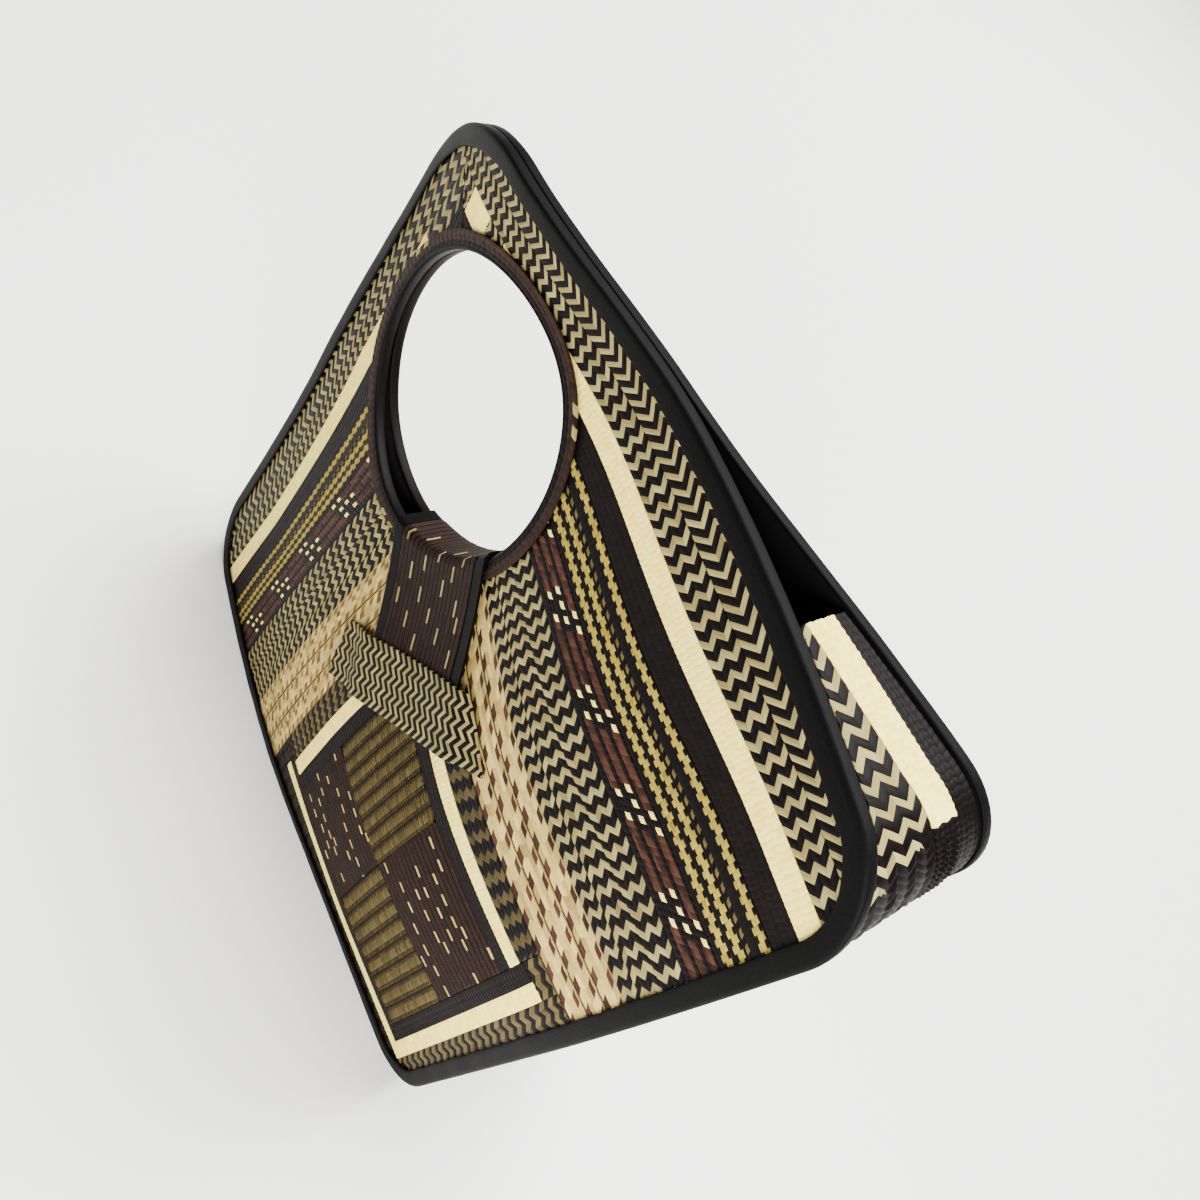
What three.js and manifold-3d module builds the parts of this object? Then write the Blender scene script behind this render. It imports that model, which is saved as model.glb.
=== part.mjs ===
// Woven handbag: a square bag carried on its corner, sewn from mitred cane braids.
// It stands on its lower left edge, with the front towards -Y and the hand hole at the upper left.
// Every piece is drawn in panel coordinates: p is the distance from the upper left edge line and
// q the distance from the upper right edge line, both in millimetres, with p = q on the bag's axis.

import * as THREE from 'three';
import Module from 'manifold-3d';

const wasm = await Module();
wasm.setup();

// Panel outline
const side = 298;
const upperBow = 6;
const lowerLean = 6;
const cornerRadius = { apex: 52, side: 30, base: 26 };
const edgeSteps = 9;
const cornerSteps = 5;
const apexCrowding = 1.25;
const liningCrowding = 1.12;

// Hand hole: an oval across the axis, measured along the axis from the apex
const holeAt = 115.5;
const holeHalfWidth = 58.5;
const holeHalfHeight = 55;
const holeSteps = 36;

// How far each panel's outer face stands from the middle plane
const apexDepth = 4.6;
const baseDepth = 49;
const handlePinch = { depth: 3, from: 0.18, to: 0.38 };
const spread = { from: 0.15, to: 0.76 };
const bulge = 10;
const apexLean = -24;
const handleTip = { back: 16.5, fade: 5.1 };
const handleTwist = { slope: 0.46, fade: 3.94 };
const tabDent = { depth: 6, at: 133, radius: 34 };
const tabHold = { delay: 0.17, width: 110 };

// Walls and the clearance that sewn pieces keep
const clearance = 0.3;
const tapeGap = 0.7;
const liningGap = 1.05;
const braidThickness = 1;
const liningThickness = 0.6;
const tapeThickness = 1;
const bindingFace = 7.5;
const trimFace = 7;
const gussetThickness = 1.8;
const tapeHeight = tapeGap + tapeThickness;
const liningDepth = braidThickness + liningGap;
const wallDepth = liningDepth + liningThickness;
const tapeDepth = wallDepth + 0.35;
const gussetDepth = wallDepth + 1.5;

// Gusset: how far it runs up each upper edge from the side corner, and its three braids
const gussetRise = 81;
const gussetInset = 1.2;
const gussetCream = 12.5;
const gussetDark = { share: 0.25, most: 10 };

// Closure tab and the keeper band that its end is tucked under, along and across the axis
const tabHalfWidth = 24.5;
const tabBinding = 5;
const tabThickness = 1.2;
const tabEnd = { front: 228, back: 202 };
const keeper = { from: 208.5, to: 233.5, left: -60, right: 48, ramp: 16, thickness: 1.4 };

const strawCream = 0xd8c99b;
const zigzagGrey = 0x8f8868;
const darkBrown = 0x2c1d18;
const mustard = 0x7d6b34;
const flecked = 0xcbb98c;
const oliveBrown = 0x5d4f2c;
const olive = 0x7a6a35;
const blackTape = 0x15171a;
const blackCloth = 0x121214;

// Each braid runs beside an upper edge: from and to are distances from that edge, start is the
// least distance from the other edge (the mitre if 0) and end the greatest
const braids = [
  { name: 'zigzag_outer', from: -8, to: 22.5, start: 0, end: side, column: 20, colour: zigzagGrey },
  { name: 'cream_dark', from: 22.5, to: 40.3, start: 81, end: side, colour: strawCream },
  { name: 'mustard_red', from: 40.3, to: 74.4, start: 81, end: side, colour: mustard },
  { name: 'zigzag_inner', from: 74.4, to: 103.7, start: 110, end: side, colour: zigzagGrey },
  { name: 'flecked', from: 103.7, to: 132, start: 0, end: side, colour: flecked },
  { name: 'frame_upper', from: 132, to: 158, start: 0, end: 264, colour: oliveBrown },
];
const apexPatch = { from: 22.5, to: 60, colour: strawCream };
const frameLower = { from: 264, inner: 132, colour: oliveBrown };
const blockLines = [158, 211, 264];
const blockCells = [
  { name: 'cell_top', p: 0, q: 0, colour: olive },
  { name: 'cell_right', p: 1, q: 0, colour: darkBrown },
  { name: 'cell_left', p: 0, q: 1, colour: darkBrown },
  { name: 'cell_base', p: 1, q: 1, colour: olive },
];

const diagonal = Math.SQRT2;

function smoothstep(t) {
  const c = THREE.MathUtils.clamp(t, 0, 1);
  return c * c * (3 - 2 * c);
}

function arch(t) {
  return (4 * t * (side - t)) / (side * side);
}

// How far the bag has opened at a share of the way from apex to base
function opened(along) {
  return smoothstep((along - spread.from) / (spread.to - spread.from));
}

// The handle end leans forwards as a whole, while its tip curls back and its right side twists
// forwards
function handleBend(p, q) {
  const along = (p + q) / (2 * side);
  const left = (fade) => Math.max(0, 1 - fade * along) ** 2;
  const twist = handleTwist.slope * left(handleTwist.fade) * (p - q) / diagonal;
  return apexLean * left(2) + handleTip.back * left(handleTip.fade) - twist;
}

// The front opens from the apex to the base, with a crowned middle and a dent under the tab
function frontFace(p, q) {
  const along = (p + q) / (2 * side);
  const depth = apexDepth + (baseDepth - apexDepth) * opened(along) + bulge * arch(p) * arch(q);
  const away = ((p - tabDent.at) ** 2 + (q - tabDent.at) ** 2) / (2 * tabDent.radius ** 2);
  return handleBend(p, q) - depth + tabDent.depth * Math.exp(-away);
}

// The back is pressed against the front at the handle and opens later on the axis, where the tab
// holds it
function backFace(p, q) {
  const along = (p + q) / (2 * side);
  const across = (p - q) / diagonal / tabHold.width;
  const held = along - tabHold.delay * Math.exp(-across * across);
  const free = smoothstep((along - handlePinch.from) / (handlePinch.to - handlePinch.from));
  const apart = 2 * apexDepth + 2 * (baseDepth - apexDepth) * opened(held);
  return frontFace(p, q) + apart - handlePinch.depth * (1 - free);
}

const front = { name: 'front', face: frontFace, out: -1 };
const back = { name: 'back', face: backFace, out: 1 };

// A point at a height over a panel's outer face, in the standing bag's frame
function onPanel(panel, p, q, height) {
  return new THREE.Vector3(p - side / 2, panel.face(p, q) + panel.out * height, side - q);
}

// The same with the place given along and across the axis
function onAxis(panel, along, across, height) {
  return onPanel(panel, (along + across) / diagonal, (along - across) / diagonal, height);
}

// Panel outline, as stations with outward normals: the upper edges bow outwards, and the lower
// right edge leans in towards the base
function bowed({ p, q }) {
  return {
    p: p - upperBow * arch(q) * (1 - p / side) ** 3 - lowerLean * (q / side) * (p / side) ** 3,
    q: q - upperBow * arch(p) * (1 - q / side) ** 3,
  };
}

function corner(p, q, radius, turn) {
  const centreP = p === 0 ? radius : side - radius;
  const centreQ = q === 0 ? radius : side - radius;
  const stations = [];
  for (let i = 0; i <= cornerSteps; i += 1) {
    const angle = turn + (i / cornerSteps) * (Math.PI / 2);
    stations.push({ p: centreP + radius * Math.cos(angle), q: centreQ + radius * Math.sin(angle) });
  }
  return stations;
}

// Stations lie closer together towards the apex, where the panels bend most
function stepped(t, edge) {
  if (edge === 0) return t ** apexCrowding;
  return edge === 3 ? 1 - (1 - t) ** apexCrowding : t;
}

function outlineStations() {
  const corners = [
    corner(0, 0, cornerRadius.apex, Math.PI),
    corner(side, 0, cornerRadius.side, -Math.PI / 2),
    corner(side, side, cornerRadius.base, 0),
    corner(0, side, cornerRadius.side, Math.PI / 2),
  ];
  const line = [];
  corners.forEach((arc, i) => {
    const next = corners[(i + 1) % corners.length][0];
    const last = arc[arc.length - 1];
    line.push(...arc);
    for (let k = 1; k < edgeSteps; k += 1) {
      const t = stepped(k / edgeSteps, i);
      line.push({ p: last.p + (next.p - last.p) * t, q: last.q + (next.q - last.q) * t });
    }
  });
  return withNormals(line.map(bowed));
}

// The line runs with its inside on the side where q grows when p grows
function withNormals(line) {
  return line.map((here, i) => {
    const before = line[(i + line.length - 1) % line.length];
    const after = line[(i + 1) % line.length];
    const length = Math.hypot(after.p - before.p, after.q - before.q);
    return { ...here, outP: (after.q - before.q) / length, outQ: -(after.p - before.p) / length };
  });
}

function holeStations() {
  const line = [];
  for (let i = 0; i < holeSteps; i += 1) {
    const angle = (i / holeSteps) * 2 * Math.PI;
    const across = holeHalfWidth * Math.cos(angle);
    const along = holeAt + holeHalfHeight * Math.sin(angle);
    line.push({ p: (along + across) / diagonal, q: (along - across) / diagonal });
  }
  return withNormals(line);
}

function moved(station, outwards) {
  return { p: station.p + station.outP * outwards, q: station.q + station.outQ * outwards };
}

// Closed solids from triangles, with the faces turned outwards
function solid(points, triangles) {
  let volume = 0;
  for (const [a, b, c] of triangles) {
    volume += points[a].dot(new THREE.Vector3().crossVectors(points[b], points[c]));
  }
  const turned = volume < 0 ? triangles.map(([a, b, c]) => [a, c, b]) : triangles;
  const geometry = new THREE.BufferGeometry();
  geometry.setAttribute('position', new THREE.Float32BufferAttribute(points.flatMap((v) => v.toArray()), 3));
  geometry.setIndex(turned.flat());
  return geometry;
}

// A wall between two grids of points, outer(i, j) and inner(i, j)
function wall(columns, rows, outer, inner) {
  const points = [];
  const triangles = [];
  for (const grid of [outer, inner]) {
    for (let i = 0; i <= columns; i += 1) {
      for (let j = 0; j <= rows; j += 1) points.push(grid(i, j));
    }
  }
  const half = (columns + 1) * (rows + 1);
  const at = (i, j, inside) => inside * half + i * (rows + 1) + j;
  const quad = (a, b, c, d) => triangles.push([a, b, c], [a, c, d]);
  for (let i = 0; i < columns; i += 1) {
    for (let j = 0; j < rows; j += 1) {
      quad(at(i, j, 0), at(i + 1, j, 0), at(i + 1, j + 1, 0), at(i, j + 1, 0));
      quad(at(i, j, 1), at(i, j + 1, 1), at(i + 1, j + 1, 1), at(i + 1, j, 1));
    }
    quad(at(i, 0, 0), at(i, 0, 1), at(i + 1, 0, 1), at(i + 1, 0, 0));
    quad(at(i, rows, 0), at(i + 1, rows, 0), at(i + 1, rows, 1), at(i, rows, 1));
  }
  for (let j = 0; j < rows; j += 1) {
    quad(at(0, j, 0), at(0, j + 1, 0), at(0, j + 1, 1), at(0, j, 1));
    quad(at(columns, j, 0), at(columns, j, 1), at(columns, j + 1, 1), at(columns, j + 1, 0));
  }
  return solid(points, triangles);
}

// A ring swept through closed sections of equal size
function ring(sections) {
  const size = sections[0].length;
  const triangles = [];
  sections.forEach((section, i) => {
    const next = (i + 1) % sections.length;
    for (let j = 0; j < size; j += 1) {
      const k = (j + 1) % size;
      triangles.push([i * size + j, next * size + j, next * size + k], [i * size + j, next * size + k, i * size + k]);
    }
  });
  return solid(sections.flat(), triangles);
}

// Joins and cuts
function toManifold(geometry) {
  const vertProperties = new Float32Array(geometry.attributes.position.array);
  const triVerts = new Uint32Array(geometry.index.array);
  return new wasm.Manifold(new wasm.Mesh({ numProp: 3, vertProperties, triVerts }));
}

function toGeometry(manifold) {
  const mesh = manifold.getMesh();
  const geometry = new THREE.BufferGeometry();
  geometry.setAttribute('position', new THREE.Float32BufferAttribute(mesh.vertProperties, 3));
  geometry.setIndex(Array.from(mesh.triVerts));
  return geometry;
}

// The room that a braid or lining has inside the binding and outside the hole's trim
function clearPrism() {
  const inset = tapeThickness + clearance;
  const far = 100;
  const outline = outlineStations().map((station) => moved(station, -inset));
  const hole = holeStations().map((station) => moved(station, inset));
  return toManifold(column(outline, far)).subtract(toManifold(column(hole, 2 * far)));
}

// An upright column through the panels with the given outline
function column(line, reach) {
  const triangles = [];
  const points = [];
  const count = line.length;
  for (const y of [-reach, reach]) {
    line.forEach(({ p, q }) => points.push(new THREE.Vector3(p - side / 2, y, side - q)));
  }
  const flat = line.map(({ p, q }) => new THREE.Vector2(p, q));
  for (const [a, b, c] of THREE.ShapeUtils.triangulateShape(flat, [])) {
    triangles.push([a, b, c], [a + count, c + count, b + count]);
  }
  for (let i = 0; i < count; i += 1) {
    const next = (i + 1) % count;
    triangles.push([i, i + count, next + count], [i, next + count, next]);
  }
  return solid(points, triangles);
}

const prism = clearPrism();

function trimmed(geometry) {
  return toGeometry(toManifold(geometry).intersect(prism));
}

function mesh(name, geometry, colour, roughness = 0.75) {
  const material = new THREE.MeshStandardMaterial({ color: colour, roughness, metalness: 0 });
  const part = new THREE.Mesh(geometry, material);
  part.name = name;
  return part;
}

// A piece of braid over a four-sided patch of the panel: place(s, t) gives p and q for 0 to 1
function braid(panel, columns, rows, place) {
  const layer = (height) => (i, j) => {
    const { p, q } = place(i / columns, j / rows);
    return onPanel(panel, p, q, height);
  };
  return trimmed(wall(columns, rows, layer(0), layer(-braidThickness)));
}

function steps(length, most) {
  return Math.max(1, Math.ceil(length / most));
}

const halves = [
  { name: 'right', place: (along, across) => ({ p: along, q: across }) },
  { name: 'left', place: (along, across) => ({ p: across, q: along }) },
];

// A braid beside an upper edge, mitred on the axis
function upperBraid(panel, half, row) {
  const overrun = row.end === side ? 4 : -clearance / 2;
  const end = row.end + overrun;
  const columns = steps(end - Math.max(row.start, row.from), row.column ?? 26);
  const crowding = row.column ? apexCrowding : 1;
  return braid(panel, columns, steps(row.to - row.from, row.column ? 11 : 20), (s, t) => {
    const across = THREE.MathUtils.lerp(row.from + clearance / 2, row.to - clearance / 2, t);
    const mitre = Math.max(across + clearance / diagonal, row.start);
    return half.place(THREE.MathUtils.lerp(mitre, end, s ** crowding), across);
  });
}

// The framing braid turned along a lower edge, mitred at the base corner
function lowerBraid(panel, half) {
  const begin = frameLower.inner + clearance / 2;
  return braid(panel, steps(side - begin, 22), 2, (s, t) => {
    const along = THREE.MathUtils.lerp(frameLower.from + clearance / 2, side + 4, t);
    const mitre = along - clearance / diagonal;
    return half.place(along, THREE.MathUtils.lerp(begin, mitre, s));
  });
}

function squareBraid(panel, p0, p1, q0, q1) {
  const { lerp } = THREE.MathUtils;
  const gap = clearance / 2;
  return braid(panel, steps(p1 - p0, 18), steps(q1 - q0, 18), (s, t) => ({
    p: lerp(p0 + gap, p1 - gap, s),
    q: lerp(q0 + gap, q1 - gap, t),
  }));
}

function panelBraids(panel) {
  const group = new THREE.Group();
  for (const half of halves) {
    for (const row of braids) {
      group.add(mesh(`${panel.name}_${half.name}_${row.name}`, upperBraid(panel, half, row), row.colour));
    }
    group.add(mesh(`${panel.name}_${half.name}_frame_lower`, lowerBraid(panel, half), frameLower.colour));
  }
  const { from, to } = apexPatch;
  group.add(mesh(`${panel.name}_apex_patch`, squareBraid(panel, from, to, from, to), apexPatch.colour));
  for (const cell of blockCells) {
    const [p0, p1] = [blockLines[cell.p], blockLines[cell.p + 1]];
    const [q0, q1] = [blockLines[cell.q], blockLines[cell.q + 1]];
    group.add(mesh(`${panel.name}_${cell.name}`, squareBraid(panel, p0, p1, q0, q1), cell.colour));
  }
  return group;
}

// Black cloth behind the braids
function lining(panel) {
  const cells = 14;
  const layer = (height) => (i, j) => {
    const p = THREE.MathUtils.lerp(-8, side + 4, (i / cells) ** liningCrowding);
    const q = THREE.MathUtils.lerp(-8, side + 4, (j / cells) ** liningCrowding);
    return onPanel(panel, p, q, -height);
  };
  const cloth = trimmed(wall(cells, cells, layer(liningDepth), layer(wallDepth)));
  return mesh(`${panel.name}_lining`, cloth, blackCloth, 0.9);
}

// A tape folded over an edge, which it covers down past the lining: its section in distance
// from the edge and height over the face
function foldedTape(face) {
  return [
    [0, tapeHeight],
    [face, tapeHeight],
    [face, tapeGap],
    [tapeThickness, tapeGap],
    [tapeThickness, -tapeDepth],
    [0, -tapeDepth],
  ];
}

function edgeTape(panel, stations, face, inwards) {
  const sections = stations.map((station) => foldedTape(face).map(([reach, height]) => {
    const { p, q } = moved(station, inwards * reach);
    return onPanel(panel, p, q, height);
  }));
  return ring(sections);
}

function edging(panel) {
  const group = new THREE.Group();
  const binding = edgeTape(panel, outlineStations(), bindingFace, -1);
  const trim = edgeTape(panel, holeStations(), trimFace, 1);
  group.add(mesh(`${panel.name}_binding`, binding, blackTape, 0.45));
  group.add(mesh(`${panel.name}_hole_trim`, trim, darkBrown));
  return group;
}

// Gusset: three braids side by side between the bindings, along the sides and the base
function gussetLine() {
  const risesTo = side - gussetRise;
  const stations = outlineStations();
  const first = stations.findIndex((station) => station.p > risesTo);
  const ordered = [...stations.slice(first), ...stations.slice(0, first)];
  const kept = ordered.filter((station) => station.p > risesTo || station.q > risesTo);
  const lead = { ...kept[0], p: risesTo };
  const tail = { ...kept[kept.length - 1], q: risesTo };
  return [lead, ...kept, tail];
}

function gussetEdges(station) {
  const { p, q } = moved(station, -gussetInset);
  const yFront = frontFace(p, q) + gussetDepth;
  const yBack = backFace(p, q) - gussetDepth;
  const width = yBack - yFront;
  const dark = Math.min(gussetDark.most, gussetDark.share * width);
  return [yFront, yBack - dark - gussetCream, yBack - dark, yBack];
}

// Each gusset braid is in two lengths that meet at the base corner, as the panels' braids do
function gussetHalf(half) {
  const line = gussetLine();
  const split = line.findIndex((station) => station.q > station.p);
  const middle = (line[split - 1].p + line[split].p) / 2;
  const step = (half === 'right' ? 1 : -1) * clearance / 2;
  const end = { p: middle + step, q: middle - step, outP: Math.SQRT1_2, outQ: Math.SQRT1_2 };
  return half === 'right' ? [...line.slice(0, split), end] : [end, ...line.slice(split)];
}

function gussetBraid(index, half) {
  const line = gussetHalf(half);
  const layer = (inset) => (i, j) => {
    const station = line[i];
    const { p, q } = moved(station, -inset);
    const edges = gussetEdges(station);
    const inner = clearance / 2;
    const y = j === 0 ? edges[index] + inner : edges[index + 1] - inner;
    return new THREE.Vector3(p - side / 2, y, side - q);
  };
  return wall(line.length - 1, 1, layer(gussetInset), layer(gussetInset + gussetThickness));
}

function gusset() {
  const group = new THREE.Group();
  for (const half of ['right', 'left']) {
    group.add(mesh(`gusset_${half}_zigzag`, gussetBraid(0, half), zigzagGrey));
    group.add(mesh(`gusset_${half}_cream`, gussetBraid(1, half), strawCream));
    group.add(mesh(`gusset_${half}_dark`, gussetBraid(2, half), darkBrown));
  }
  return group;
}

// Closure tab: up the back, flat over the two rims, and down the front to the keeper
function rimAlong(across) {
  return holeAt + holeHalfHeight * Math.sqrt(1 - (across / holeHalfWidth) ** 2);
}

function tabPoint(stage, across, lift) {
  const height = tapeHeight + clearance + lift;
  const rim = rimAlong(across);
  if (stage.panel) {
    const along = THREE.MathUtils.lerp(rim, stage.end, stage.t);
    return onAxis(stage.panel, along, across, height);
  }
  const over = rim - clearance - lift;
  const from = onAxis(back, rim, across, height);
  const to = onAxis(front, rim, across, height);
  const place = onAxis(front, over, across, 0);
  const y = THREE.MathUtils.lerp(from.y, to.y, stage.over);
  return new THREE.Vector3(place.x, y, place.z);
}

function tabStages() {
  const stages = [];
  const backSteps = 2;
  const frontSteps = 5;
  for (let i = backSteps; i >= 1; i -= 1) stages.push({ panel: back, end: tabEnd.back, t: i / backSteps });
  for (const over of [0, 0.12, 0.5, 0.88, 1]) stages.push({ over });
  for (let i = 1; i <= frontSteps; i += 1) stages.push({ panel: front, end: tabEnd.front, t: i / frontSteps });
  return stages;
}

function tabStrip(left, right) {
  const stages = tabStages();
  const rows = steps(right - left, 13);
  const layer = (lift) => (i, j) => tabPoint(stages[i], THREE.MathUtils.lerp(left, right, j / rows), lift);
  return wall(stages.length - 1, rows, layer(tabThickness), layer(0));
}

function closureTab() {
  const group = new THREE.Group();
  const inner = tabHalfWidth + clearance;
  const outer = inner + tabBinding;
  group.add(mesh('closure_tab', tabStrip(-tabHalfWidth, tabHalfWidth), darkBrown));
  group.add(mesh('tab_binding_left', tabStrip(-outer, -inner), blackTape, 0.45));
  group.add(mesh('tab_binding_right', tabStrip(inner, outer), blackTape, 0.45));
  return group;
}

// Keeper band: flat on the panel at its ends, raised over the tab between them
function keeperBand() {
  const columns = 18;
  const raised = tapeHeight + clearance + tabThickness;
  const tabEdge = tabHalfWidth + tabBinding + 2;
  const layer = (lift) => (i, j) => {
    const across = THREE.MathUtils.lerp(keeper.left, keeper.right, i / columns);
    const along = j === 0 ? keeper.from : keeper.to;
    const over = 1 - smoothstep((Math.abs(across) - tabEdge) / keeper.ramp);
    return onAxis(front, along, across, clearance + raised * over + lift);
  };
  return mesh('keeper_band', wall(columns, 1, layer(keeper.thickness), layer(0)), zigzagGrey);
}

const handbag = new THREE.Group();
for (const panel of [front, back]) {
  handbag.add(panelBraids(panel), lining(panel), edging(panel));
}
handbag.add(gusset(), closureTab(), keeperBand());

// The origin is on the ground, under the middle of the standing bag
const middle = new THREE.Box3().setFromObject(handbag).getCenter(new THREE.Vector3());
handbag.position.set(-middle.x, -middle.y, 0);

export default handbag;
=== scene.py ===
import itertools
import math

import bpy
import numpy as np
from mathutils import Matrix, Vector


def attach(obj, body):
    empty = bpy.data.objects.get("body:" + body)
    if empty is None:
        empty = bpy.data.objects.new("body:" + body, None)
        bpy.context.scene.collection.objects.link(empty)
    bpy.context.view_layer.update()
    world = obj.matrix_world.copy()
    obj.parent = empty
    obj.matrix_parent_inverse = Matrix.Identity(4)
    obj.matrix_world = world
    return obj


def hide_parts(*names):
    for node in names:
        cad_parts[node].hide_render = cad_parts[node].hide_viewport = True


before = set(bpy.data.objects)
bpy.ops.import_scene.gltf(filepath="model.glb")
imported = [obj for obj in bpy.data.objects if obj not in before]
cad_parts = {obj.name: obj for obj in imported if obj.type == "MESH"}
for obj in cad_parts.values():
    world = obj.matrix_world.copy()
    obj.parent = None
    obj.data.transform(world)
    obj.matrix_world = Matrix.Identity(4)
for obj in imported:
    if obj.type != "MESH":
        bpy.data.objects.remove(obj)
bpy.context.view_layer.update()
print("frame loaded")

# Panel layout in millimetres: p and q are the distances from the upper left and the upper right edge
panel = {
    "side": 298.0, "bow": 6.0, "lowerLean": 6.0, "apexRadius": 52.0, "sideRadius": 30.0, "baseRadius": 26.0,
    "holeAt": 115.5, "holeHalfWidth": 58.5, "holeHalfHeight": 55.0,
    "apexDepth": 4.6, "baseDepth": 49.0, "opensFrom": 0.15, "opensOver": 0.61, "bulge": 10.0,
    "apexLean": -24.0, "leanFade": 2.0, "tipBack": 16.5, "tipFade": 5.1, "twist": 0.46, "twistFade": 3.94,
    "dent": 6.0, "dentAt": 133.0, "dentRadius": 34.0, "holdDelay": 0.17, "holdWidth": 110.0,
    "pinch": 3.0, "pinchFrom": 0.18, "pinchOver": 0.2, "midShift": (3.296, 2.099),
    "braidThickness": 1.0, "seam": 0.12,
}
side = panel["side"]
diagonal = math.sqrt(2)


def smooth(t):
    t = np.clip(t, 0, 1)
    return t * t * (3 - 2 * t)


def arch(t):
    return 4 * t * (side - t) / side ** 2


def opened(along):
    return smooth((along - panel["opensFrom"]) / panel["opensOver"])


# The handle end leans forwards, its tip curls back and its right side twists forwards
def handleBend(along, across):
    lean = panel["apexLean"] * np.maximum(0, 1 - panel["leanFade"] * along) ** 2
    tip = panel["tipBack"] * np.maximum(0, 1 - panel["tipFade"] * along) ** 2
    twist = panel["twist"] * np.maximum(0, 1 - panel["twistFade"] * along) ** 2
    return lean + tip - twist * across


def faceOf(name, p, q):
    along = (p + q) / (2 * side)
    swell = panel["baseDepth"] - panel["apexDepth"]
    depth = panel["apexDepth"] + swell * opened(along) + panel["bulge"] * arch(p) * arch(q)
    away = (p - panel["dentAt"]) ** 2 + (q - panel["dentAt"]) ** 2
    front = handleBend(along, (p - q) / diagonal) - depth
    front = front + panel["dent"] * np.exp(-away / (2 * panel["dentRadius"] ** 2))
    if name == "front":
        return front
    # the tab holds the back panel in near the axis, so that it opens later there
    held = panel["holdDelay"] * np.exp(-((p - q) / diagonal / panel["holdWidth"]) ** 2)
    pinch = panel["pinch"] * (1 - smooth((along - panel["pinchFrom"]) / panel["pinchOver"]))
    return front + 2 * panel["apexDepth"] + 2 * swell * opened(along - held) - pinch


# Millimetres of the layout to metres of the frame
def inFrame(p, y, q):
    shiftX, shiftY = panel["midShift"]
    return np.stack([p - side / 2 + shiftX, y + shiftY, side - q], -1) / 1000


def onPanel(name, p, q, height):
    out = -1 if name == "front" else 1
    return inFrame(p, faceOf(name, p, q) + out * height, q)


def onAxis(name, along, across, height):
    return onPanel(name, (along + across) / diagonal, (along - across) / diagonal, height)


# Distance inside the panel's outline, and outside the hand hole's
def edgeDistance(p, q):
    flatP = p + panel["bow"] * arch(q) * (1 - p / side) ** 3
    lean = panel["lowerLean"] * q / side
    flatP = flatP + lean * ((p + lean) / side) ** 3
    flatQ = q + panel["bow"] * arch(p) * (1 - q / side) ** 3
    farP, farQ = side - flatP, side - flatQ
    inside = np.minimum(np.minimum(flatP, flatQ), np.minimum(farP, farQ))
    corners = [
        (flatP, flatQ, panel["apexRadius"]), (farP, flatQ, panel["sideRadius"]),
        (farP, farQ, panel["baseRadius"]), (flatP, farQ, panel["sideRadius"]),
    ]
    for a, b, radius in corners:
        rounded = radius - np.hypot(radius - a, radius - b)
        inside = np.where((a < radius) & (b < radius), rounded, inside)
    return inside


def holeDistance(p, q):
    across = (p - q) / diagonal
    along = (p + q) / diagonal - panel["holeAt"]
    reach = np.hypot(across / panel["holeHalfWidth"], along / panel["holeHalfHeight"])
    slope = np.hypot(across / panel["holeHalfWidth"] ** 2, along / panel["holeHalfHeight"] ** 2)
    return (reach - 1) * reach / np.maximum(slope, 1e-6)


# The seams wander on the real bag: how far each lies from its place, and how that changes along it
seams = {
    "rightAt": [0, 22.5, 30.7, 40.3, 59.5, 74.4, 103.7, 132, 146, 158, 211, 264, 277, 291, 298],
    "rightShift": [0, 0.4, 0.9, 1.2, 0.8, 0.7, 0.7, 1.6, 0.3, 2.6, 3.5, 1.6, 0.5, 0, 0],
    "rightSwing": [0, 1.4, 1.6, 2.4, 1.8, 1.5, 1.9, 0.6, 0.8, 1.6, 0, 0, 0, 0, 0],
    "rightDrop": [0, 0, 0, 0, 0, 0, 0, 0, 0, 0, 0, 7.4, 7.5, 2.5, 0],
    "leftAt": [0, 22.5, 40.3, 59.5, 74.4, 103.7, 132, 146, 158, 211, 264, 277, 298],
    "leftShift": [0, -0.7, 0.8, -2.1, -0.3, -3.3, -3.5, -6.5, -4.6, -5.2, 0.4, 0.8, 0],
    "leftRamp": [0, 3.7, 3.0, 1.2, 0, 0, 1.0, 1.5, 1.5, 0, 0, 0, 0],
    "swingAt": 196, "swingLength": 140, "dropFrom": 150, "dropOver": 75, "rampAt": 181, "rampOver": 54,
    "mitreMost": 120, "mitreFade": 38,  # near the mitre both halves keep to the layout
}


def seamValue(half, kind, at):
    return np.interp(at, seams[half + "At"], seams[half + kind])


def wander(p, q):
    swing = np.cos(2 * math.pi * np.clip((p - seams["swingAt"]) / seams["swingLength"], -0.5, 0.5))
    drop = smooth((p - seams["dropFrom"]) / seams["dropOver"])
    shiftQ = seamValue("right", "Shift", q) + swing * seamValue("right", "Swing", q)
    shiftQ = shiftQ + drop * seamValue("right", "Drop", q)
    ramp = np.clip((q - seams["rampAt"]) / seams["rampOver"], -1, 1)
    shiftP = seamValue("left", "Shift", p) + ramp * seamValue("left", "Ramp", p)
    movedP = p + shiftP * smooth((q - np.minimum(p, seams["mitreMost"])) / seams["mitreFade"])
    movedQ = q + shiftQ * smooth((p - np.minimum(q, seams["mitreMost"])) / seams["mitreFade"])
    return movedP, movedQ


def linear(hexColour):
    channels = [int(hexColour[i:i + 2], 16) / 255 for i in (1, 3, 5)]
    return [c / 12.92 if c <= 0.04045 else ((c + 0.055) / 1.055) ** 2.4 for c in channels] + [1.0]


def fillSockets(tree, node, sockets):
    for socket, value in sockets.items():
        if isinstance(value, bpy.types.NodeSocket):
            tree.links.new(value, node.inputs[socket])
        else:
            node.inputs[socket].default_value = value


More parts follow.
